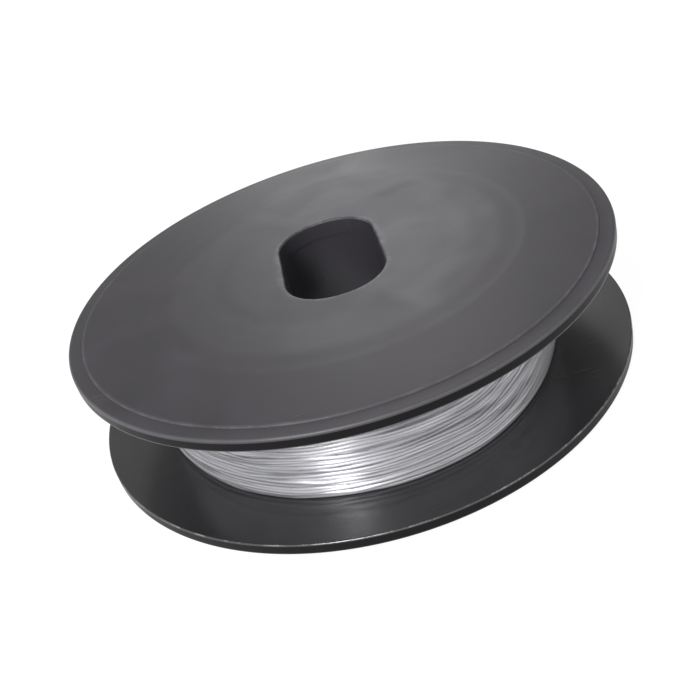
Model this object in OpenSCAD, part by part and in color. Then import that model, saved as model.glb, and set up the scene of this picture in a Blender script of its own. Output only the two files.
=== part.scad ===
// Flat plastic reel of solder wire. Two moulded flanges plug onto a webbed barrel, and the wire
// is wound between them. The reel's axis is Z, it rests on its lower flange at Z = 0, and the
// spindle hole is longest along Y.

/* [Flanges] */
// Diameter of both flanges
flange_d = 60; // [56:1:80]
// Thickness of a flange at its rim
rim_t = 1.3; // [1:0.1:2]
// Width of the lowered band round a flange's outer face
rim_w = 1.6; // [1:0.1:4]
// Height of the step inside that band
land_h = 0.2; // [0.15:0.05:0.6]
// Rise of the outer face from that step to the foot of the hub
face_rise = 0.4; // [0.05:0.05:0.4]
// Radius that rounds the rim's edge on the outer face
rim_round = 0.5; // [0.1:0.05:0.5]
// Radius that rounds the rim's edge on the inner face
inner_edge_round = 0.15; // [0.1:0.05:0.4]
// Radius that rounds the step's edge
land_round = 0.15; // [0.05:0.05:0.15]

/* [Hubs] */
// Diameter of the flat hub in the middle of a flange's outer face
hub_d = 36; // [30:0.5:40]
// Height of the hub above its foot
hub_h = 0.1; // [0.1:0.05:0.6]
// Width of the soft slope round the hub
hub_blend = 3; // [0.6:0.2:3]

/* [Barrel] */
// Outside diameter of the barrel that the wire is wound on
barrel_d = 30; // [27:0.5:36]
// Clear width between the flanges
winding_w = 11; // [8:0.2:20]
// Thickness of the barrel's outer wall
barrel_wall = 1.2; // [0.8:0.1:1.6]
// Thickness of the sleeve round the spindle hole
sleeve_wall = 1.2; // [0.8:0.1:1.6]
// Number of webs between the sleeve and the outer wall
web_count = 8; // [4:2:12]
// Thickness of a web
web_t = 0.8; // [0.6:0.1:1.2]

/* [Spigots] */
// Height of the ring on a flange that plugs into the barrel
spigot_h = 1.5; // [1:0.1:2.5]
// Wall thickness of that ring
spigot_wall = 1.0; // [0.8:0.1:1.4]
// Radial clearance between the ring and the barrel
spigot_clear = 0.05; // [0.02:0.01:0.2]
// Clearance between the ring's end and the webs
web_clear = 0.2; // [0.1:0.1:0.5]

/* [Spindle hole] */
// Width of the oblong spindle hole
bore_w = 10.9; // [10.5:0.1:13]
// Length of the oblong spindle hole
bore_l = 18.2; // [14:0.2:18.4]
// Radius of the hole's corners
bore_corner = 5.2; // [2:0.1:5.2]
// Radius that rounds the hole's mouth in each flange
mouth_round = 0.4; // [0.2:0.1:0.8]

/* [Wire] */
// Diameter of the solder wire
wire_d = 0.5; // [0.4:0.1:0.8]
// Outside diameter of the wound wire
winding_d = 48.5; // [36:0.5:54]
// Least gap between neighbouring turns of the outer layer
turn_gap = 0.42; // [0.42:0.02:1]
// Clearance between the wound wire and what it lies on or beside
winding_clear = 0.05; // [0.02:0.01:0.1]

/* [Hidden] */

$fn = 128;
plastic_colour = "#4b4a4d";
barrel_colour = "#434245";
core_colour = "#8f9195";
wire_colour = "#c9cbce";
// How far a cut runs past the faces that it opens
past = 1;
// Steps in a quarter circle of a rounded edge
edge_steps = 6;

flange_r = flange_d / 2;
land_r = flange_r - rim_w;
hub_r = hub_d / 2;
flange_t = rim_t + land_h + face_rise + hub_h;
lower_face_z = flange_t;
upper_face_z = flange_t + winding_w;
overall_h = upper_face_z + flange_t;

barrel_r = barrel_d / 2;
barrel_inner_r = barrel_r - barrel_wall;
spigot_r = barrel_inner_r - spigot_clear;
web_end = spigot_h + web_clear;

// The outer layer is drawn as chords, and their middles lie nearer the axis than their ends.
loop_rings = 24;
tube_sides = 6;
most_loops = 24;
layer_r = winding_d / 2 - wire_d / 2;
chord_sag = layer_r * (1 - cos(180 / loop_rings));
core_r = layer_r - chord_sag - wire_d / 2 - winding_clear;
core_inner_r = barrel_r + winding_clear;
layer_run = winding_w - wire_d - 2 * winding_clear;
loops = min(most_loops, floor(layer_run / (wire_d + turn_gap)));
layer_pitch = layer_run / loops;
layer_start_z = lower_face_z + winding_clear + wire_d / 2;
// The outer layer starts and ends at the side of the reel that faces +Y
layer_start_angle = 90;

// Points of an arc about [x, y], from angle a to angle b
function arc(x, y, r, a, b) =
    [for (i = [0:edge_steps]) let (t = a + (b - a) * i / edge_steps) [x + r * cos(t), y + r * sin(t)]];

// Points of the soft slope from the foot of the hub up to its flat face
function hub_slope() =
    [for (i = [0:edge_steps]) let (t = i / edge_steps)
        [hub_r + hub_blend * (1 - t), flange_t - hub_h * (1 + cos(180 * t)) / 2]];

// Half section of a flange, with its inner face at y = 0 and its outer face up
module flange_section() {
    polygon(concat(
        [[0, 0]],
        arc(flange_r - inner_edge_round, inner_edge_round, inner_edge_round, -90, 0),
        arc(flange_r - rim_round, rim_t - rim_round, rim_round, 0, 90),
        [[land_r, rim_t]],
        arc(land_r - land_round, rim_t + land_h - land_round, land_round, 0, 90),
        hub_slope(),
        [[0, flange_t]]
    ));
}

// Oblong with round corners, centred on the axis
module oblong(width, length, corner) {
    square([width, length - 2 * corner], center = true);
    square([width - 2 * corner, length], center = true);
    for (x = [-1, 1], y = [-1, 1])
        translate([x * (width / 2 - corner), y * (length / 2 - corner)])
            circle(corner);
}

// Half section of the flared mouth of a hole: reach is the hole's own radius there
module mouth_section(reach) {
    polygon(concat(
        [[0, -mouth_round], [0, past], [reach + mouth_round, past]],
        arc(reach + mouth_round, -mouth_round, mouth_round, 90, 180)
    ));
}

// Cutter that rounds the hole's mouth, with the flange's outer face at z = 0
module hole_mouth() {
    flat_x = bore_w - 2 * bore_corner;
    flat_y = bore_l - 2 * bore_corner;
    for (x = [-1, 1], y = [-1, 1])
        translate([x * flat_x / 2, y * flat_y / 2])
            rotate_extrude()
                mouth_section(bore_corner);
    for (side = [0, 180]) {
        rotate([90, 0, side])
            linear_extrude(flat_y, center = true)
                mouth_section(bore_w / 2);
        rotate([90, 0, side + 90])
            linear_extrude(flat_x, center = true)
                mouth_section(bore_l / 2);
    }
}

// One flange moulding, its inner face at z = 0 and its outer face up
module flange() {
    difference() {
        union() {
            rotate_extrude()
                flange_section();
            translate([0, 0, -spigot_h])
                difference() {
                    cylinder(h = spigot_h + rim_t / 2, r = spigot_r);
                    translate([0, 0, -past])
                        cylinder(h = spigot_h + past, r = spigot_r - spigot_wall);
                }
        }
        translate([0, 0, -past])
            linear_extrude(flange_t + 2 * past)
                oblong(bore_w, bore_l, bore_corner);
        translate([0, 0, flange_t])
            hole_mouth();
    }
}

module upper_flange() {
    color(plastic_colour)
        translate([0, 0, upper_face_z])
            flange();
}

module lower_flange() {
    color(plastic_colour)
        translate([0, 0, lower_face_z])
            rotate([180, 0, 0])
                flange();
}

// Outer wall, sleeve and webs in one moulding, with the spindle hole through the sleeve
module barrel() {
    color(barrel_colour)
        translate([0, 0, lower_face_z])
            difference() {
                union() {
                    difference() {
                        cylinder(h = winding_w, r = barrel_r);
                        translate([0, 0, -past])
                            cylinder(h = winding_w + 2 * past, r = barrel_inner_r);
                    }
                    linear_extrude(winding_w)
                        oblong(
                            bore_w + 2 * sleeve_wall,
                            bore_l + 2 * sleeve_wall,
                            bore_corner + sleeve_wall
                        );
                    for (i = [0:web_count - 1])
                        rotate(i * 360 / web_count)
                            translate([0, -web_t / 2, web_end])
                                cube([barrel_inner_r + barrel_wall / 2, web_t, winding_w - 2 * web_end]);
                }
                translate([0, 0, -past])
                    linear_extrude(winding_w + 2 * past)
                        oblong(bore_w, bore_l, bore_corner);
            }
}

// All the layers under the outer one, as one body
module wound_wire_core() {
    color(core_colour)
        translate([0, 0, lower_face_z + winding_clear])
            difference() {
                cylinder(h = winding_w - 2 * winding_clear, r = core_r);
                translate([0, 0, -past])
                    cylinder(h = winding_w + past, r = core_inner_r);
            }
}

// Centre of the outer layer's wire after a number of rings
function layer_angle(ring) = layer_start_angle + 360 * ring / loop_rings;
function layer_centre(ring) = [
    layer_r * cos(layer_angle(ring)),
    layer_r * sin(layer_angle(ring)),
    layer_start_z + layer_pitch * ring / loop_rings
];
// Direction that the wire runs in at a ring
function layer_along(ring) = [-sin(layer_angle(ring)), cos(layer_angle(ring)), 0];

last_ring = loops * loop_rings;
// Straight ends, one wire diameter long
layer_centres = concat(
    [layer_centre(0) - wire_d * layer_along(0)],
    [for (ring = [0:last_ring]) layer_centre(ring)],
    [layer_centre(last_ring) + wire_d * layer_along(last_ring)]
);
layer_angles = concat(
    [layer_angle(0)],
    [for (ring = [0:last_ring]) layer_angle(ring)],
    [layer_angle(last_ring)]
);

// Gap between points of the layer that lie half a loop or more apart along the wire
half_loop = loop_rings / 2;
layer_gap = min([
    for (i = [1:last_ring + 1 - half_loop])
        for (j = [i + half_loop:min(i + 2 * loop_rings, last_ring + 1)])
            norm(layer_centres[j] - layer_centres[i]) - wire_d
]);

// Outer layer of turns: one unbroken tube of six sides
module wound_wire_outer_layer() {
    echo(outer_layer_loops = loops, least_gap_to_itself = layer_gap);
    sides = tube_sides;
    corners = [
        for (k = [0:len(layer_centres) - 1])
            for (s = [0:sides - 1])
                let (t = 360 * s / sides, a = layer_angles[k])
                    layer_centres[k]
                    + wire_d / 2 * [cos(t) * cos(a), cos(t) * sin(a), sin(t)]
    ];
    walls = [
        for (k = [0:len(layer_centres) - 2])
            for (s = [0:sides - 1])
                let (here = k * sides + s, next = k * sides + (s + 1) % sides)
                    each [[here, next, next + sides], [here, next + sides, here + sides]]
    ];
    last = (len(layer_centres) - 1) * sides;
    caps = [for (s = [1:sides - 2]) each [[0, s + 1, s], [last, last + s, last + s + 1]]];
    color(wire_colour)
        polyhedron(corners, concat(walls, caps));
}

lower_flange();
upper_flange();
barrel();
wound_wire_core();
wound_wire_outer_layer();
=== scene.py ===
"""A flat moulded spool of fine solder wire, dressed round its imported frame."""

import math

import bmesh
import bpy
import numpy as np
from mathutils import Matrix, Vector


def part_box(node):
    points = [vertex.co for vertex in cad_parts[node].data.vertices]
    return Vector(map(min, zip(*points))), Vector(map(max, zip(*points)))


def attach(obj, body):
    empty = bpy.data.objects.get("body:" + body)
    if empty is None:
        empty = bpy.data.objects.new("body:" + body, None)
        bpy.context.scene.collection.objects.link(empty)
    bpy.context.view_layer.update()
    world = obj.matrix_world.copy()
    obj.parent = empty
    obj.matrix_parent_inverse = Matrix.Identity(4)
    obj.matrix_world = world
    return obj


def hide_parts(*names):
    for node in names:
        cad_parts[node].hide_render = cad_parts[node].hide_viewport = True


MM = 0.001
FULL_TURN = 2 * math.pi
# Keeps a divisor from being zero
NEARLY_ZERO = 1e-9

# ---------------------------------------------------------------- camera and studio

CAMERA_ELEVATION = 29.79
CAMERA_ROLL = 17.26
CAMERA_DISTANCE = 109.8 * MM
CAMERA_LENS = 50.09
CAMERA_SENSOR = 36
CAMERA_CLIP = (0.005, 20)
AIM_RIGHT = -0.99 * MM
AIM_UP = -4.11 * MM

WHITE = "#ffffff"
PAPER_WHITE = "#f4f4f4"
ROOM_LIGHT = 0.42
FLOOR_SIZE = 6.0
# Where the floor is seen, this share of it is lit paper, which takes the shadow
FLOOR_SHADOW_SHARE = 0.14
# Makes up for the paper's share, so that the lit sheet is as white as what is behind it
CARD_GLOW = 1.102
PANEL_R = 0.25
PANEL_H = 0.32
PANEL_STEPS = 24
# Share of a panel's length over which its cloth thins out at each end
PANEL_FADE = 0.25
# First and last azimuth in degrees, and the shade
SIDE_PANELS = {
    "left_panel": (88, 156, "#b2b2b2"),
    "right_panel": (-15, 80, "#989898"),
}
# Azimuth and elevation in degrees, distance and size in metres, power in watts
SOFTBOXES = {
    "front_left": (-119, 42, 0.5, (0.06, 0.25), 1.8),
    "back": (86, 34, 0.6, (0.2, 0.2), 0.22),
    "low_back": (89, 17, 0.6, (0.1, 0.08), 0.05),
}

# ---------------------------------------------------------------- the two flange mouldings

RIM_T = 1.3 * MM
RIM_W = 1.6 * MM
RIM_ROUND = 0.32 * MM
STEP_H = 0.15 * MM
STEP_ROUND = 0.1 * MM
STEP_FILLET = 0.05 * MM
FACE_RISE = 0.45 * MM
HUB_R = 18 * MM
HUB_H = 0.1 * MM
HUB_BLEND = 3.0 * MM
BORE_W = 10.9 * MM
BORE_L = 18.0 * MM
BORE_CORNER = 5.2 * MM
MOUTH_ROUND = 0.25 * MM
INNER_EDGE_ROUND = 0.15 * MM
SPIGOT_R = 13.75 * MM
SPIGOT_WALL = 1.0 * MM
SPIGOT_H = 1.5 * MM
# From here outwards the rings of the outer face are round, and not oblong as the hole is
ROUND_FROM_R = 11.5 * MM

# Where the spigot pulls the face in as the moulding cools
SINK_R = 13.3 * MM
SINK_DEPTH = 0.02 * MM
SINK_HALF_WIDTH = 1.2 * MM
# How far the cooled flange is out of flat at its rim, and where round it
WARP = 0.05 * MM
WARP_PHASE = 0.8
# How much further the lower moulding's rim reaches out
LOWER_SPREAD = 0.4 * MM

# Rings of points over each part of the section, and slices round the axis
MOUTH_RINGS = 7
OBLONG_RINGS = 8
FACE_RINGS = 64
STEP_RINGS = 6
FILLET_RINGS = 4
INNER_FACE_RINGS = 24
FLANGE_SLICES = 384
# Faces that meet at a sharper angle than this in degrees show an edge
FLANGE_SHARP = 40
BARREL_SHARP = 25
# Corners of the barrel's solid that lie nearer to each other than this are one
MERGE_DISTANCE = 0.0005 * MM

# The kinds of marks, some of which carry painted highlight or painted shade. Each ring of points has each
# of them at some strength from 0 to 1.
MARKS = ("rubbed_and_highlit", "bruised_and_highlit", "polished_and_shaded", "dull_and_shaded")
# Rub and bruise marks at the hole's mouth and at the step, which also paint a highlight along these edges
MOUTH_MARKS = (0.06, 0.16)
STEP_MARKS = (0.1, 0.06)
# Rub marks over the rim's rounding, from the outer face to the wall, which also paint a highlight along
# it
RIM_RUB_AND_HIGHLIGHT = (0.02, 0.05, 0.08, 0.12, 0.16, 0.16, 0.1, 0.05, 0)
# Bruises over the inner edge's rounding, from the wall to the inner face, which also paint a highlight
# along it
INNER_EDGE_BRUISE_AND_HIGHLIGHT = (0, 0.1, 0.5, 0.5, 0.1, 0)
# How far past a rounding its marks have faded
WALL_FADE = 0.05 * MM
INNER_EDGE_FADE = 0.03 * MM

# ---------------------------------------------------------------- the wound wire

WIRE_D = 0.5 * MM
WIRE_SIDES = 10
RINGS_PER_TURN = 160
# Noise that moves the wire along the axis and away from it, and how fast it changes round the
# spool and across its turns
SWING_NOISE = {"Scale": 1.0, "Detail": 1.5}
SWING_RANGE = (0.25, 0.75)
SWING_SEEDS = (0.0, 17.3)
NOISE_STRETCH = (90.0, 90.0, 2200.0)
# Share of a layer that lies against each flange
FLAT_SHARE = 0.035
# Angles in degrees between which a band of turns crosses over, and between which it comes back
CROSSING_RISE = (-72, -28)
CROSSING_FALL = (-10, 150)
# How much flatter the wound wire is at the spindle hole's sides than at its ends, and by how many
# degrees its flat sides are turned from the hole's
OVAL = 1.5 * MM
OVAL_TURN = 3
# How much further out the wire lies at the spindle hole's ends than its plain ring does
BULGE = 0.45 * MM
# How deep the wire's ends go in under the turns beside them, and over which share of its length
TUCK = 0.4 * MM
TUCK_SHARE = 0.006
# The ring of packed wire starts this far outside the barrel, and ends this far inside the solid
# core once that is flattened too
DRUM_CLEAR = 0.05 * MM
DRUM_DEPTH = 0.8 * MM
DRUM_SLICES = 192
WINDING_INPUTS = (
    "Wire Diameter",
    "Lay Radius",
    "Base",
    "Width",
    "Turns",
    "Start Angle",
    "Downwards",
    "Wander",
    "Lift",
    "Climb",
    "Retreat",
    "Oval",
    "Seed",
)
# The layers of turns that show. Depth is how far the middle of the wire lies under the winding's
# outside, and Seed picks its own noise for each layer.
LAYERS = {
    "even_turns": {
        "Depth": 0.42 * MM,
        "Turns": 38,
        "Start Angle": 1.2,
        "Downwards": 0,
        "Wander": 0.12 * MM,
        "Lift": 0.03 * MM,
        "Climb": 1.0 * MM,
        "Retreat": 0.85 * MM,
        "Seed": 8,
    },
    "last_turns": {
        "Depth": 0.34 * MM,
        "Turns": 30,
        "Start Angle": 1.7,
        "Downwards": 0,
        "Wander": 0.3 * MM,
        "Lift": 0.08 * MM,
        "Climb": 2.6 * MM,
        "Retreat": 1.1 * MM,
        "Seed": 21,
    },
    "crossing_up": {
        "Depth": 0.17 * MM,
        "Turns": 8,
        "Start Angle": 2.0,
        "Downwards": 0,
        "Wander": 0.4 * MM,
        "Lift": 0.06 * MM,
        "Climb": 4.2 * MM,
        "Retreat": 1.1 * MM,
        "Seed": 31,
    },
    "crossing_down": {
        "Depth": 0.2 * MM,
        "Turns": 6,
        "Start Angle": 0.6,
        "Downwards": 1,
        "Wander": 0.35 * MM,
        "Lift": 0.06 * MM,
        "Climb": 1.6 * MM,
        "Retreat": 1.1 * MM,
        "Seed": 44,
    },
}

# ---------------------------------------------------------------- colours and gloss

PLASTIC_DARK = "#3b393d"
PLASTIC_LIGHT = "#423f44"
PLASTIC_RUBBED = "#3d3b40"
# Painted shade: the darker colour of the glossier inner faces between the flanges
PLASTIC_INNER_SHADE = "#2b2a2c"
# Painted shade: the darker colour of the rim's wall
PLASTIC_WALL_SHADE = "#131214"
# Light colour of worn edges, which also paints a highlight along the roundings, the step and the hole's
# lip
PLASTIC_WORN_AND_HIGHLIGHT = "#b4b2b8"
PLASTIC_IOR = 1.5
FACE_ROUGHNESS = (0.33, 0.43)
FACE_SPECULAR = 0.35
INNER_ROUGHNESS = 0.22
INNER_SPECULAR = 1.0
WALL_SPECULAR = 0.12
PLASTIC_BUMP = {"Strength": 0.12, "Distance": 0.02 * MM}
# How much a scuff roughens the plastic and stands out in its bump
SCUFF_ROUGHNESS = 0.15
SCUFF_HEIGHT = 0.5
# Cloudy flow marks, 5 to 12 mm across
FLOW_CLOUDS = {"Scale": 120.0, "Detail": 3.0, "Roughness": 0.5, "Distortion": 0.6}
FLOW_RANGE = (0.32, 0.68)
# Fine mottle of the mould's surface, about 0.4 mm
MOULD_MOTTLE = {"Scale": 2400.0, "Detail": 2.0, "Roughness": 0.6}
# Hairlines from handling: their directions in radians, each with the noise level they start at
HAIRLINES = ((0.35, 0.74), (1.9, 0.73), (1.25, 0.73))
HAIRLINE_NOISE = {"Scale": 1.0, "Detail": 1.0, "Distortion": 0.4}
HAIRLINE_STRETCH = (150.0, 9000.0, 150.0)
HAIRLINE_SOFTNESS = 0.05
HAIRLINE_STRENGTH = 0.1
HAIRLINE_PATCHES = {"Scale": 260.0, "Detail": 1.0}
PATCH_RANGE = (0.5, 0.62)
# Chips of the worn edges, which also break up their painted highlight
CHIPS = {"Scale": 420.0, "Detail": 5.0, "Roughness": 0.75}
BRUISE_AND_HIGHLIGHT_RANGE = (0.48, 0.6)
RUB_AND_HIGHLIGHT_RANGE = (0.3, 0.7)
RUB_AND_HIGHLIGHT_STRENGTH = (0.6, 1.0)
# The haze that stands and shelves rub into the hub ends between these distances from the axis
RUB_FULL_R = 16.0 * MM
RUB_START_R = 19.5 * MM
RUB_WAVER = 5.0 * MM

SOLDER_DULL = "#b7b7bb"
SOLDER_BRIGHT = "#d0d0d4"
SOLDER_OXIDE = "#77777c"
SOLDER_ROUGHNESS = (0.39, 0.47)
# Drawing leaves scratches along the wire, which spread its highlight across it
SOLDER_ANISOTROPY = 0.8
SOLDER_BUMP = {"Strength": 0.04, "Distance": 0.01 * MM}
SOLDER_GRAIN = {"Scale": 6000.0, "Detail": 2.0, "Roughness": 0.5}
# A faint bloom, which makes the gloss uneven
BLOOM = {"Scale": 260.0, "Detail": 3.0, "Roughness": 0.6}
BLOOM_RANGE = (0.3, 0.7)
# The die's draw lines run along the wire, about 0.25 mm apart
DRAW_LINES = {"Scale": 1.0, "Detail": 2.0, "Roughness": 0.6}
DRAW_LINE_STRETCH = (120.0, 120.0, 4000.0)
DRAW_LINE_RANGE = (0.32, 0.68)
# Long patches of grey oxide, one to three wires wide
OXIDE_PATCHES = {"Scale": 1.0, "Detail": 2.5}
OXIDE_STRETCH = (80.0, 80.0, 1100.0)
OXIDE_RANGE = (0.52, 0.68)
OXIDE_STRENGTH = (0.0, 0.7)


def srgb(code):
    """Linear colour of an sRGB hex value."""
    parts = [int(code[i : i + 2], 16) / 255 for i in (1, 3, 5)]
    return [p / 12.92 if p <= 0.04045 else ((p + 0.055) / 1.055) ** 2.4 for p in parts] + [1.0]


# ---------------------------------------------------------------- nodes

SMOOTH = {"interpolation_type": "SMOOTHSTEP"}


def add(tree, kind, settings=None, inputs=None):
    """Adds a node. An input is a value, a socket to link from, or a node whose first output is linked."""
    node = tree.nodes.new(kind)
    for name, value in (settings or {}).items():
        setattr(node, name, value)
    for name, value in (inputs or {}).items():
        if isinstance(value, bpy.types.Node):
            value = value.outputs[0]
        if isinstance(value, bpy.types.NodeSocket):
            tree.links.new(value, node.inputs[name])
        else:
            node.inputs[name].default_value = value
    return node


def calc(tree, operation, *values, **settings):
    """Works out a number."""
    return add(tree, "ShaderNodeMath", {"operation": operation, **settings}, dict(enumerate(values)))


def vector_calc(tree, operation, *values):
    """Works out a vector."""
    return add(tree, "ShaderNodeVectorMath", {"operation": operation}, dict(enumerate(values)))


def ramp(tree, value, span, reaches=(0.0, 1.0), **settings):
    """Carries a value from the range span over to the range that it reaches."""
    inputs = {
        "Value": value,
        "From Min": span[0],
        "From Max": span[1],
        "To Min": reaches[0],
        "To Max": reaches[1],
    }
    return add(tree, "ShaderNodeMapRange", settings, inputs)


def noise(tree, place, look, **settings):
    """Cloudy values, mostly between 0.3 and 0.7."""
    return add(tree, "ShaderNodeTexNoise", settings, {"Vector": place, **look}).outputs["Fac"]


def blend(tree, kind, share, start, end):
    """Goes from start to end as share grows. The kind is FLOAT or RGBA."""
    inputs = {"Factor": share, "A": start, "B": end}
    return add(tree, "ShaderNodeMix", {"data_type": kind}, inputs).outputs["Result"]


def stored(tree, name):
    """Value that is stored with the mesh under this name."""
    return add(tree, "ShaderNodeAttribute", {"attribute_name": name}).outputs["Fac"]


# ---------------------------------------------------------------- materials


def start_material(name):
    material = bpy.data.materials.new(name)
    material.use_nodes = True
    tree = material.node_tree
    tree.nodes.clear()
    return material, tree


def hairline_marks(tree, place):
    """Noise drawn out 60 times along three directions, broken up by patches."""
    hairlines = 0.0
    for turn, level in HAIRLINES:
        turned = add(
            tree,
            "ShaderNodeMapping",
            {"vector_type": "POINT"},
            {"Vector": place, "Rotation": (0, 0, turn), "Scale": HAIRLINE_STRETCH},
        )
        strokes = noise(tree, turned, HAIRLINE_NOISE)
        strokes = ramp(tree, strokes, (level, level + HAIRLINE_SOFTNESS))
        hairlines = calc(tree, "MAXIMUM", hairlines, strokes)
    patches = ramp(tree, noise(tree, place, HAIRLINE_PATCHES), PATCH_RANGE)
    return calc(tree, "MULTIPLY", hairlines, patches)


def worn_and_highlit_edges(tree, place):
    """Edges lightened all along and bruised here and there: partly wear, partly a painted highlight along
    the roundings.
    """
    chips = noise(tree, place, CHIPS)
    bruises_and_highlights = ramp(tree, chips, BRUISE_AND_HIGHLIGHT_RANGE)
    rubs_and_highlights = ramp(tree, chips, RUB_AND_HIGHLIGHT_RANGE, RUB_AND_HIGHLIGHT_STRENGTH)
    rubs_and_highlights = calc(tree, "MULTIPLY", stored(tree, "rubbed_and_highlit"), rubs_and_highlights)
    return calc(tree, "MULTIPLY_ADD", stored(tree, "bruised_and_highlit"), bruises_and_highlights, rubs_and_highlights)


def hub_haze(tree, place, clouds):
    """The hub's hazed zone, with an uneven border."""
    spot = vector_calc(tree, "MULTIPLY", place, (1, 1, 0))
    from_axis = vector_calc(tree, "LENGTH", spot).outputs["Value"]
    wavering = calc(tree, "MULTIPLY_ADD", clouds, RUB_WAVER, from_axis)
    border = (RUB_FULL_R + RUB_WAVER / 2, RUB_START_R + RUB_WAVER / 2)
    return ramp(tree, wavering, border, (1.0, 0.0), **SMOOTH)


def moulded_polystyrene():
    """Charcoal polystyrene from a mould with a high polish: satin, with flow marks, hairlines and worn
    edges, a painted highlight along its edges and painted shade on its inner faces and walls.
    """
    material, tree = start_material("moulded_polystyrene")
    place = add(tree, "ShaderNodeTexCoord").outputs["Object"]
    clouds = noise(tree, place, FLOW_CLOUDS)
    flow = ramp(tree, clouds, FLOW_RANGE)
    # Faces between the flanges, which the mould gave a high polish; their colour is also darkened, as
    # painted shade
    polished_and_shaded = stored(tree, "polished_and_shaded")
    # The rim's wall is duller, with little gloss, and its colour is darkened as painted shade
    dull_and_shaded = stored(tree, "dull_and_shaded")
    # Nothing scratches that wall
    hairlines = calc(tree, "SUBTRACT", hairline_marks(tree, place), dull_and_shaded, use_clamp=True)
    # Hairlines and worn edges, lighter in colour; along the roundings this is also a painted highlight
    scuffs_and_highlights = calc(tree, "MULTIPLY_ADD", hairlines, HAIRLINE_STRENGTH, worn_and_highlit_edges(tree, place))
    colour = blend(tree, "RGBA", flow, srgb(PLASTIC_DARK), srgb(PLASTIC_LIGHT))
    colour = blend(tree, "RGBA", hub_haze(tree, place, clouds), colour, srgb(PLASTIC_RUBBED))
    colour = blend(tree, "RGBA", polished_and_shaded, colour, srgb(PLASTIC_INNER_SHADE))
    colour = blend(tree, "RGBA", dull_and_shaded, colour, srgb(PLASTIC_WALL_SHADE))
    colour = blend(tree, "RGBA", scuffs_and_highlights, colour, srgb(PLASTIC_WORN_AND_HIGHLIGHT))
    rough = ramp(tree, flow, (0.0, 1.0), FACE_ROUGHNESS)
    rough = blend(tree, "FLOAT", polished_and_shaded, rough, INNER_ROUGHNESS)
    rough = calc(tree, "MULTIPLY_ADD", scuffs_and_highlights, SCUFF_ROUGHNESS, rough)
    specular = blend(tree, "FLOAT", polished_and_shaded, FACE_SPECULAR, INNER_SPECULAR)
    specular = blend(tree, "FLOAT", dull_and_shaded, specular, WALL_SPECULAR)
    mottle = noise(tree, place, MOULD_MOTTLE)
    height = calc(tree, "MULTIPLY_ADD", scuffs_and_highlights, SCUFF_HEIGHT, mottle)
    bump = add(tree, "ShaderNodeBump", {}, {**PLASTIC_BUMP, "Height": height})
    shader = add(
        tree,
        "ShaderNodeBsdfPrincipled",
        {},
        {
            "Base Color": colour,
            "Roughness": rough,
            "IOR": PLASTIC_IOR,
            "Specular IOR Level": specular,
            "Normal": bump,
        },
    )
    add(tree, "ShaderNodeOutputMaterial", {}, {"Surface": shader})
    return material


def drawn_solder():
    """Tin alloy drawn through a die: bright and soft, with a faint grey bloom."""
    material, tree = start_material("drawn_solder")
    place = add(tree, "ShaderNodeTexCoord").outputs["Object"]
    lines = noise(tree, vector_calc(tree, "MULTIPLY", place, DRAW_LINE_STRETCH), DRAW_LINES)
    shine = ramp(tree, lines, DRAW_LINE_RANGE)
    colour = blend(tree, "RGBA", shine, srgb(SOLDER_DULL), srgb(SOLDER_BRIGHT))
    patches = noise(tree, vector_calc(tree, "MULTIPLY", place, OXIDE_STRETCH), OXIDE_PATCHES)
    oxide = ramp(tree, patches, OXIDE_RANGE, OXIDE_STRENGTH)
    colour = blend(tree, "RGBA", oxide, colour, srgb(SOLDER_OXIDE))
    rough = ramp(tree, noise(tree, place, BLOOM), BLOOM_RANGE, SOLDER_ROUGHNESS)
    grain = noise(tree, place, SOLDER_GRAIN)
    bump = add(tree, "ShaderNodeBump", {}, {**SOLDER_BUMP, "Height": grain})
    across_wire = add(tree, "ShaderNodeCombineXYZ", {}, {"Z": 1.0})
    shader = add(
        tree,
        "ShaderNodeBsdfPrincipled",
        {},
        {
            "Base Color": colour,
            "Metallic": 1.0,
            "Roughness": rough,
            "Anisotropic": SOLDER_ANISOTROPY,
            "Tangent": across_wire,
            "Normal": bump,
        },
    )
    add(tree, "ShaderNodeOutputMaterial", {}, {"Surface": shader})
    return material


# ---------------------------------------------------------------- mesh making


def object_from(name, corners, faces, material):
    mesh = bpy.data.meshes.new(name)
    mesh.from_pydata(corners, [], faces)
    mesh.materials.append(material)
    mesh.validate()
    piece = bpy.data.objects.new(name, mesh)
    bpy.context.scene.collection.objects.link(piece)
    return piece


def ring_of_loops(loops):
    """Corners and faces of a closed solid: each loop joins the next, and the last joins the first."""
    count = len(loops)
    around = len(loops[0])
    corners = np.concatenate(loops)
    here = np.arange(around)
    after = (here + 1) % around
    faces = []
    for k in range(count):
        low = k * around
        high = (k + 1) % count * around
        faces.append(np.stack([low + here, low + after, high + after, high + here], 1))
    return corners, np.concatenate(faces)


def smooth_by_angle(piece, degrees):
    piece.data.shade_smooth()
    piece.data.set_sharp_from_angle(angle=math.radians(degrees))


def give_attribute(piece, name, values):
    attribute = piece.data.attributes.new(name, "FLOAT", "POINT")
    attribute.data.foreach_set("value", np.asarray(values, dtype=np.float32))


def arc(x, z, radius, start, end, steps):
    """Points of an arc, from the angle start to the angle end in degrees."""
    turn = np.radians(np.linspace(start, end, steps))
    return [(x + radius * math.cos(t), z + radius * math.sin(t)) for t in turn]


# ---------------------------------------------------------------- flanges and barrel


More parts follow.
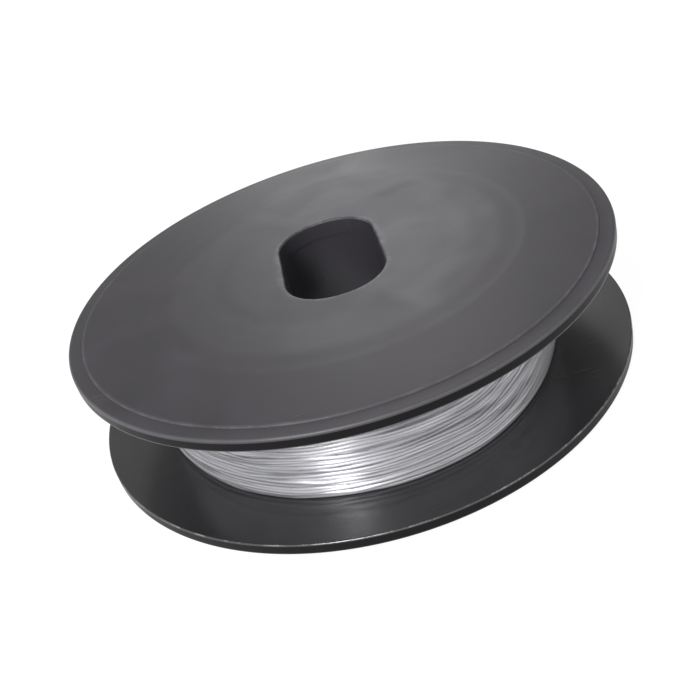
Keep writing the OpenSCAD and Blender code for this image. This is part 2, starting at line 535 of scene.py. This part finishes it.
def oblong_reach(angles, spread):
    """Distance from the axis to the spindle hole's wall, moved out by spread."""
    half_w = BORE_W / 2 + spread
    half_l = BORE_L / 2 + spread
    corner = BORE_CORNER + spread
    across = np.abs(np.cos(angles))
    along = np.abs(np.sin(angles))
    centre_x = half_w - corner
    centre_y = half_l - corner
    to_side = half_w / np.maximum(across, NEARLY_ZERO)
    to_end = half_l / np.maximum(along, NEARLY_ZERO)
    middle = across * centre_x + along * centre_y
    to_corner = middle + np.sqrt(np.maximum(middle**2 - centre_x**2 - centre_y**2 + corner**2, 0))
    reach = np.where(to_side * along <= centre_y, to_side, to_corner)
    return np.where(to_end * across <= centre_x, to_end, reach)


def outer_face(reach, land_r):
    """Height of the outer face over the inner one: the hub, its slope and the rise from the rim."""
    foot_r = HUB_R + HUB_BLEND
    rise = RIM_T + STEP_H + FACE_RISE * np.clip((land_r - reach) / (land_r - foot_r), 0, 1)
    climbed = np.clip((foot_r - reach) / HUB_BLEND, 0, 1)
    sink = SINK_DEPTH * np.exp(-(((reach - SINK_R) / SINK_HALF_WIDTH) ** 2))
    return rise + HUB_H * (1 - np.cos(climbed * math.pi)) / 2 - sink


def flange_rings(thickness, flange_r, rounding_dullness_and_shade, angles):
    """Rings from the hole's wall over the outer face and round the rim to the inner face and spigot.

    Each ring is its reach, its height and its four marks.
    """
    land_r = flange_r - RIM_W
    land_end = land_r - STEP_ROUND
    mouth_z = thickness - MOUTH_ROUND
    rings = [(oblong_reach(angles, 0), z) for z in (0, mouth_z)]
    for spread, z in arc(MOUTH_ROUND, mouth_z, MOUTH_ROUND, 180, 90, MOUTH_RINGS)[1:]:
        rings.append((oblong_reach(angles, spread), z, *MOUTH_MARKS))
    # The face between the mouth and the hub's round part turns from oblong to round
    mouth = oblong_reach(angles, MOUTH_ROUND)
    for share in np.linspace(0, 1, OBLONG_RINGS)[1:]:
        reach = mouth + (ROUND_FROM_R - mouth) * share
        rings.append((reach, outer_face(reach, land_r)))
    for radius in np.linspace(ROUND_FROM_R, land_end, FACE_RINGS)[1:-1]:
        rings.append((radius, outer_face(radius, land_r)))
    step = arc(land_end, RIM_T + STEP_H - STEP_ROUND, STEP_ROUND, 90, 0, STEP_RINGS)
    rings += [(r, z, *STEP_MARKS) for r, z in step]
    rings += arc(land_r + STEP_FILLET, RIM_T + STEP_FILLET, STEP_FILLET, 180, 270, FILLET_RINGS)[1:]
    rounding = arc(flange_r - RIM_ROUND, RIM_T - RIM_ROUND, RIM_ROUND, 90, 0, len(RIM_RUB_AND_HIGHLIGHT))
    rings += [(r, z, mark, 0, 0, rounding_dullness_and_shade) for (r, z), mark in zip(rounding, RIM_RUB_AND_HIGHLIGHT)]
    # The rim's wall, with little gloss and the darker colour of painted shade
    for z in (RIM_T - RIM_ROUND - WALL_FADE, INNER_EDGE_ROUND + INNER_EDGE_FADE):
        rings.append((flange_r, z, 0, 0, 0, 1))
    edge_r = flange_r - INNER_EDGE_ROUND
    rounding = arc(edge_r, INNER_EDGE_ROUND, INNER_EDGE_ROUND, 0, -90, len(INNER_EDGE_BRUISE_AND_HIGHLIGHT))
    rings += [(r, z, 0, mark, 1) for (r, z), mark in zip(rounding, INNER_EDGE_BRUISE_AND_HIGHLIGHT)]
    # The inner face: glossier, and painted darker as painted shade
    for radius in np.linspace(edge_r - INNER_EDGE_FADE, SPIGOT_R, INNER_FACE_RINGS):
        rings.append((radius, 0, 0, 0, 1))
    spigot_inner_r = SPIGOT_R - SPIGOT_WALL
    rings += [(SPIGOT_R, -SPIGOT_H), (spigot_inner_r, -SPIGOT_H), (spigot_inner_r, 0)]
    unmarked = (0,) * len(MARKS)
    return [(*ring, *unmarked)[: 2 + len(MARKS)] for ring in rings]


def flange_mesh(thickness, flange_r, rounding_dullness_and_shade):
    """Corners, faces and surface marks of a flange: inner face at z = 0, outer face up."""
    angles = np.linspace(0, FULL_TURN, FLANGE_SLICES, endpoint=False)
    rings = flange_rings(thickness, flange_r, rounding_dullness_and_shade, angles)
    loops = []
    for reach, z in (ring[:2] for ring in rings):
        reach = reach * np.ones_like(angles)
        outside_hub = np.clip((reach - HUB_R) / (flange_r - HUB_R), 0, 1)
        warp = WARP * np.sin(2 * angles + WARP_PHASE) * outside_hub**2
        loops.append(np.stack([reach * np.cos(angles), reach * np.sin(angles), z + warp], 1))
    corners, faces = ring_of_loops(loops)
    marks = {}
    for k, label in enumerate(MARKS):
        marks[label] = np.repeat([ring[2 + k] for ring in rings], FLANGE_SLICES)
    # The rings run up the hole's wall and down the rim, which turns the faces inward
    return corners, faces[:, ::-1], marks


def make_flange(name, face_z, upside_down, thickness, flange_r, material):
    # The rounding next to the bench is as dull as the rim's wall
    # The lower flange's rim rounding faces the floor: it gets the wall's low gloss and the wall's darker
    # colour, which is painted shade
    corners, faces, marks = flange_mesh(thickness, flange_r, 1 if upside_down else 0)
    if upside_down:
        corners = corners * [1, -1, -1]
    corners = corners + [0, 0, face_z]
    piece = object_from(name, corners, faces, material)
    for label, values in marks.items():
        give_attribute(piece, label, values)
    smooth_by_angle(piece, FLANGE_SHARP)
    return piece


def make_barrel(frame_node, material):
    """The barrel's own solid, merged and shaded so that its curves read as curves."""
    piece = frame_node.copy()
    piece.data = frame_node.data.copy()
    piece.name = "barrel_moulding"
    for key in list(piece.keys()):
        del piece[key]
    piece.parent = None
    bpy.context.scene.collection.objects.link(piece)
    work = bmesh.new()
    work.from_mesh(piece.data)
    bmesh.ops.remove_doubles(work, verts=work.verts, dist=MERGE_DISTANCE)
    work.to_mesh(piece.data)
    work.free()
    piece.data.materials.clear()
    piece.data.materials.append(material)
    smooth_by_angle(piece, BARREL_SHARP)
    return piece


# ---------------------------------------------------------------- winding


def crossed_share(tree, angle):
    """How far over the crossing turns are at an angle: 0 on their own lay, 1 all the way over."""
    rise = ramp(tree, angle, [math.radians(end) for end in CROSSING_RISE], **SMOOTH)
    fall = ramp(tree, angle, [math.radians(end) for end in CROSSING_FALL], (1.0, 0.0), **SMOOTH)
    return calc(tree, "MULTIPLY", rise, fall)


def swings(tree, point, seed):
    """Two slow swings, from -1 to 1. Neighbouring turns read different noise."""
    stretched = vector_calc(tree, "MULTIPLY", point, NOISE_STRETCH)
    found = []
    for offset in SWING_SEEDS:
        look = {**SWING_NOISE, "W": calc(tree, "ADD", seed, offset)}
        level = noise(tree, stretched, look, noise_dimensions="4D")
        found.append(ramp(tree, level, SWING_RANGE, (-1.0, 1.0), clamp=False))
    return found


def winding_tree(material):
    """Node tree that winds one layer of wire: an even helix, moved by slow seeded noise."""
    tree = bpy.data.node_groups.new("wind_wire", "GeometryNodeTree")
    for name in WINDING_INPUTS:
        tree.interface.new_socket(name=name, in_out="INPUT", socket_type="NodeSocketFloat")
    tree.interface.new_socket(name="Wire", in_out="OUTPUT", socket_type="NodeSocketGeometry")
    given = add(tree, "NodeGroupInput").outputs
    half_wire = calc(tree, "MULTIPLY", given["Wire Diameter"], 0.5)
    run = calc(tree, "SUBTRACT", given["Width"], given["Wire Diameter"])
    low = calc(tree, "ADD", given["Base"], half_wire)
    high = calc(tree, "ADD", low, run)
    spiral = add(
        tree,
        "GeometryNodeCurveSpiral",
        {},
        {
            "Resolution": RINGS_PER_TURN,
            "Rotations": given["Turns"],
            "Start Radius": given["Lay Radius"],
            "End Radius": given["Lay Radius"],
            "Height": run,
        },
    )
    turn = add(tree, "ShaderNodeCombineXYZ", {}, {"Z": given["Start Angle"]})
    placed = add(tree, "GeometryNodeTransform", {}, {"Geometry": spiral, "Rotation": turn})
    # Each point's direction out from the axis, its angle and its share of the run
    point = add(tree, "GeometryNodeInputPosition")
    xyz = add(tree, "ShaderNodeSeparateXYZ", {}, {"Vector": point}).outputs
    flat = add(tree, "ShaderNodeCombineXYZ", {}, {"X": xyz["X"], "Y": xyz["Y"]})
    outward = vector_calc(tree, "NORMALIZE", flat)
    angle = calc(tree, "ARCTAN2", xyz["Y"], xyz["X"])
    share = calc(tree, "DIVIDE", xyz["Z"], run)
    # A layer laid downwards counts its share from the upper flange
    share = calc(tree, "ABSOLUTE", calc(tree, "SUBTRACT", share, given["Downwards"]))
    # The layer's start and its end lie flat against the flanges
    share = ramp(tree, share, (FLAT_SHARE, 1 - FLAT_SHARE))
    # The turns wander along the axis, and where the guide crossed over, the middle ones climb
    wander, lift = swings(tree, point, given["Seed"])
    crossed = crossed_share(tree, angle)
    middle_turns = calc(tree, "SINE", calc(tree, "MULTIPLY", share, math.pi))
    climb = calc(tree, "MULTIPLY", crossed, middle_turns)
    laid_z = calc(tree, "MULTIPLY_ADD", share, run, low)
    laid_z = calc(tree, "MULTIPLY_ADD", wander, given["Wander"], laid_z)
    laid_z = calc(tree, "MULTIPLY_ADD", climb, given["Climb"], laid_z)
    laid_z = calc(tree, "MINIMUM", calc(tree, "MAXIMUM", laid_z, low), high)
    # There they also lie nearer the axis
    reach = calc(tree, "MULTIPLY_ADD", lift, given["Lift"], given["Lay Radius"])
    retreat = calc(tree, "MULTIPLY", crossed, given["Retreat"])
    reach = calc(tree, "SUBTRACT", reach, retreat)
    # The winding is a little oval
    doubled = calc(tree, "MULTIPLY_ADD", angle, 2.0, math.radians(180 - 2 * OVAL_TURN))
    sideways = calc(tree, "MULTIPLY_ADD", calc(tree, "COSINE", doubled), -0.5, 0.5)
    flattened = calc(tree, "MULTIPLY", sideways, given["Oval"])
    reach = calc(tree, "SUBTRACT", reach, flattened)
    # Both ends are tucked in under their neighbours
    along = add(tree, "GeometryNodeSplineParameter").outputs["Factor"]
    to_end = calc(tree, "PINGPONG", along, 0.5)
    tuck = ramp(tree, to_end, (0.0, TUCK_SHARE), (-TUCK, 0.0), **SMOOTH)
    reach = calc(tree, "ADD", reach, tuck)
    out = add(tree, "ShaderNodeVectorMath", {"operation": "SCALE"}, {0: outward, "Scale": reach})
    up = add(tree, "ShaderNodeCombineXYZ", {}, {"Z": laid_z})
    target = vector_calc(tree, "ADD", out, up)
    laid = add(tree, "GeometryNodeSetPosition", {}, {"Geometry": placed, "Position": target})
    upright = add(tree, "GeometryNodeSetCurveNormal", {"mode": "Z_UP"}, {"Curve": laid})
    section = add(
        tree,
        "GeometryNodeCurvePrimitiveCircle",
        {"mode": "RADIUS"},
        {"Resolution": WIRE_SIDES, "Radius": half_wire},
    )
    tube_inputs = {"Curve": upright, "Profile Curve": section, "Fill Caps": True}
    tube = add(tree, "GeometryNodeCurveToMesh", {}, tube_inputs)
    smooth = add(tree, "GeometryNodeSetShadeSmooth", {}, {"Geometry": tube})
    real = add(tree, "GeometryNodeRealizeInstances", {}, {"Geometry": smooth})
    dressed = add(tree, "GeometryNodeSetMaterial", {}, {"Geometry": real, "Material": material})
    add(tree, "NodeGroupOutput", {}, {"Wire": dressed})
    return tree


def wind(name, tree, sizes):
    """Winds a layer with these sizes and returns it as a plain mesh object."""
    holder = object_from(name + "_holder", [(0, 0, 0)], [], None)
    modifier = holder.modifiers.new("wind", "NODES")
    modifier.node_group = tree
    sockets = {item.name: item.identifier for item in tree.interface.items_tree if item.in_out == "INPUT"}
    for label, value in sizes.items():
        modifier[sockets[label]] = float(value)
    seen = holder.evaluated_get(bpy.context.evaluated_depsgraph_get())
    mesh = bpy.data.meshes.new_from_object(seen)
    mesh.name = name
    bpy.data.objects.remove(holder)
    piece = bpy.data.objects.new(name, mesh)
    bpy.context.scene.collection.objects.link(piece)
    return piece


def drum_mesh(inner_r, outer_r, low, high):
    """Corners and faces of a plain ring of packed wire."""
    angles = np.linspace(0, FULL_TURN, DRUM_SLICES, endpoint=False)
    section = [(outer_r, low), (outer_r, high), (inner_r, high), (inner_r, low)]
    loops = [
        np.stack([r * np.cos(angles), r * np.sin(angles), np.full_like(angles, z)], 1) for r, z in section
    ]
    return ring_of_loops(loops)


def join(name, pieces):
    """One object from several, in the same place."""
    work = bmesh.new()
    for piece in pieces:
        work.from_mesh(piece.data)
    mesh = bpy.data.meshes.new(name)
    work.to_mesh(mesh)
    work.free()
    mesh.materials.append(pieces[0].data.materials[0])
    for piece in pieces:
        bpy.data.objects.remove(piece)
    joined = bpy.data.objects.new(name, mesh)
    bpy.context.scene.collection.objects.link(joined)
    return joined


def make_winding(base, width, barrel_r, core_r, winding_r, material):
    """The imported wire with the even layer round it, and the turns outside them."""
    tree = winding_tree(material)
    shared = {"Wire Diameter": WIRE_D, "Base": base, "Width": width, "Oval": OVAL}
    layers = {}
    for label, layer in LAYERS.items():
        sizes = {**shared, **layer}
        sizes["Lay Radius"] = winding_r + BULGE - sizes.pop("Depth")
        layers[label] = wind(label, tree, sizes)
    drum_sizes = (barrel_r + DRUM_CLEAR, core_r - OVAL - DRUM_DEPTH, base, base + width)
    drum = object_from("packed_wire", *drum_mesh(*drum_sizes), material)
    inner = join("inner_turns", [drum, layers.pop("even_turns")])
    return inner, join("outer_turns", list(layers.values()))


# ---------------------------------------------------------------- studio


def add_camera(centre):
    elevation = math.radians(CAMERA_ELEVATION)
    back = Vector((0, -math.cos(elevation), math.sin(elevation)))
    right = Vector((1, 0, 0))
    place = centre + back * CAMERA_DISTANCE
    aim = centre + right * AIM_RIGHT + back.cross(right) * AIM_UP
    back = (place - aim).normalized()
    right = Vector((0, 0, 1)).cross(back).normalized()
    level = Matrix((right, back.cross(right), back)).transposed()
    turned = level @ Matrix.Rotation(-math.radians(CAMERA_ROLL), 3, "Z")
    lens = bpy.data.cameras.new("camera")
    lens.lens = CAMERA_LENS
    lens.sensor_width = CAMERA_SENSOR
    lens.clip_start, lens.clip_end = CAMERA_CLIP
    camera = bpy.data.objects.new("camera", lens)
    camera.matrix_world = Matrix.Translation(place) @ turned.to_4x4()
    bpy.context.scene.collection.objects.link(camera)
    bpy.context.scene.camera = camera


def add_softbox(name, azimuth, elevation, distance, size, watts, centre):
    """A rectangular soft light that faces the spool. Azimuth is measured from +X towards +Y."""
    around = math.radians(azimuth)
    above = math.radians(elevation)
    towards = Vector(
        (math.cos(around) * math.cos(above), math.sin(around) * math.cos(above), math.sin(above))
    )
    light = bpy.data.lights.new(name, "AREA")
    light.shape = "RECTANGLE"
    light.size, light.size_y = size
    light.energy = watts
    lamp = bpy.data.objects.new(name, light)
    lamp.location = centre + towards * distance
    lamp.rotation_euler = towards.to_track_quat("Z", "Y").to_euler()
    bpy.context.scene.collection.objects.link(lamp)


def background_share(tree):
    """1 for the rays that show the white background, 0 for those that carry light to matt surfaces."""
    path = add(tree, "ShaderNodeLightPath").outputs
    seen = calc(tree, "MAXIMUM", path["Is Camera Ray"], path["Is Glossy Ray"])
    return calc(tree, "MAXIMUM", seen, path["Is Transmission Ray"])


def add_world():
    world = bpy.data.worlds.new("studio")
    bpy.context.scene.world = world
    world.use_nodes = True
    tree = world.node_tree
    tree.nodes.clear()
    white = add(tree, "ShaderNodeBackground", {}, {"Color": srgb(WHITE), "Strength": 1.0})
    room = add(tree, "ShaderNodeBackground", {}, {"Color": srgb(WHITE), "Strength": ROOM_LIGHT})
    mixed = add(tree, "ShaderNodeMixShader", {}, {0: background_share(tree), 1: room, 2: white})
    add(tree, "ShaderNodeOutputWorld", {}, {"Surface": mixed})


def add_side_panel(name, from_azimuth, to_azimuth, shade):
    """A curved grey panel of the light tent, out of the picture, that the shiny faces mirror."""
    material, tree = start_material(name + "_grey")
    grey = add(tree, "ShaderNodeBsdfDiffuse", {}, {"Color": srgb(shade)})
    clear = add(tree, "ShaderNodeBsdfTransparent")
    veil = add(tree, "ShaderNodeMixShader", {}, {0: stored(tree, "cover"), 1: clear, 2: grey})
    add(tree, "ShaderNodeOutputMaterial", {}, {"Surface": veil})
    corners = []
    for azimuth in np.radians(np.linspace(from_azimuth, to_azimuth, PANEL_STEPS + 1)):
        x = PANEL_R * math.cos(azimuth)
        y = PANEL_R * math.sin(azimuth)
        corners += [(x, y, 0), (x, y, PANEL_H)]
    faces = [(2 * k, 2 * k + 2, 2 * k + 3, 2 * k + 1) for k in range(PANEL_STEPS)]
    panel = object_from(name, corners, faces, material)
    # The cloth thins out towards both ends
    share = np.linspace(0, 1, PANEL_STEPS + 1)
    cover = np.clip(np.minimum(share, 1 - share) / PANEL_FADE, 0, 1)
    give_attribute(panel, "cover", np.repeat(cover, 2))
    panel.visible_camera = False
    panel.visible_diffuse = False
    panel.visible_shadow = False


def add_floor():
    """A plain white sheet. Where it is seen it is part white card, so the shadow on it stays light."""
    material, tree = start_material("white_sheet")
    paper = add(tree, "ShaderNodeBsdfDiffuse", {}, {"Color": srgb(PAPER_WHITE)})
    card = add(tree, "ShaderNodeEmission", {}, {"Color": srgb(WHITE), "Strength": CARD_GLOW})
    seen = add(tree, "ShaderNodeMixShader", {}, {0: FLOOR_SHADOW_SHARE, 1: card, 2: paper})
    mixed = add(tree, "ShaderNodeMixShader", {}, {0: background_share(tree), 1: paper, 2: seen})
    # The sheet isn't there for a camera that looks up from under it
    clear = add(tree, "ShaderNodeBsdfTransparent")
    below = add(tree, "ShaderNodeNewGeometry").outputs["Backfacing"]
    mixed = add(tree, "ShaderNodeMixShader", {}, {0: below, 1: mixed, 2: clear})
    add(tree, "ShaderNodeOutputMaterial", {}, {"Surface": mixed})
    half = FLOOR_SIZE / 2
    corners = [(-half, -half, 0), (half, -half, 0), (half, half, 0), (-half, half, 0)]
    floor = object_from("floor", corners, [(0, 1, 2, 3)], material)


# ---------------------------------------------------------------- the spool


def settle(piece, node):
    """The piece rides on the spool's one body and stands for this solid."""
    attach(piece, "root")
    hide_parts(node)


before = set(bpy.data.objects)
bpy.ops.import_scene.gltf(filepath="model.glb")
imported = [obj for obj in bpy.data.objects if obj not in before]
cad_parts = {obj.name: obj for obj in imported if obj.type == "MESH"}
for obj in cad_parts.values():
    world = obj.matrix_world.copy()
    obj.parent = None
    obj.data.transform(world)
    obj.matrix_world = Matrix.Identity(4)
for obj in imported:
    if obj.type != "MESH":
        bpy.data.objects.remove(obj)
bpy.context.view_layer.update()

flange_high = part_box("upper_flange")[1]
barrel_low, barrel_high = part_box("barrel")
core_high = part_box("wound_wire_core")[1]
winding_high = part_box("wound_wire_outer_layer")[1]
flange_r = flange_high.x
flange_t = barrel_low.z
winding_w = barrel_high.z - barrel_low.z
spool_centre = Vector((0, 0, flange_high.z / 2))

add_camera(spool_centre)
add_world()
add_floor()
for name, shape in SIDE_PANELS.items():
    add_side_panel(name, *shape)
for name, setting in SOFTBOXES.items():
    add_softbox(name, *setting, spool_centre)

bpy.context.scene.view_settings.view_transform = "Standard"

polystyrene = moulded_polystyrene()
solder = drawn_solder()

upper = make_flange("upper_flange_moulding", barrel_high.z, False, flange_t, flange_r, polystyrene)
settle(upper, "upper_flange")
lower_r = flange_r + LOWER_SPREAD
lower = make_flange("lower_flange_moulding", barrel_low.z, True, flange_t, lower_r, polystyrene)
settle(lower, "lower_flange")
barrel = make_barrel(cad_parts["barrel"], polystyrene)
settle(barrel, "barrel")
inner_turns, outer_turns = make_winding(
    barrel_low.z, winding_w, barrel_high.x, core_high.x, winding_high.x, solder
)
settle(inner_turns, "wound_wire_core")
settle(outer_turns, "wound_wire_outer_layer")
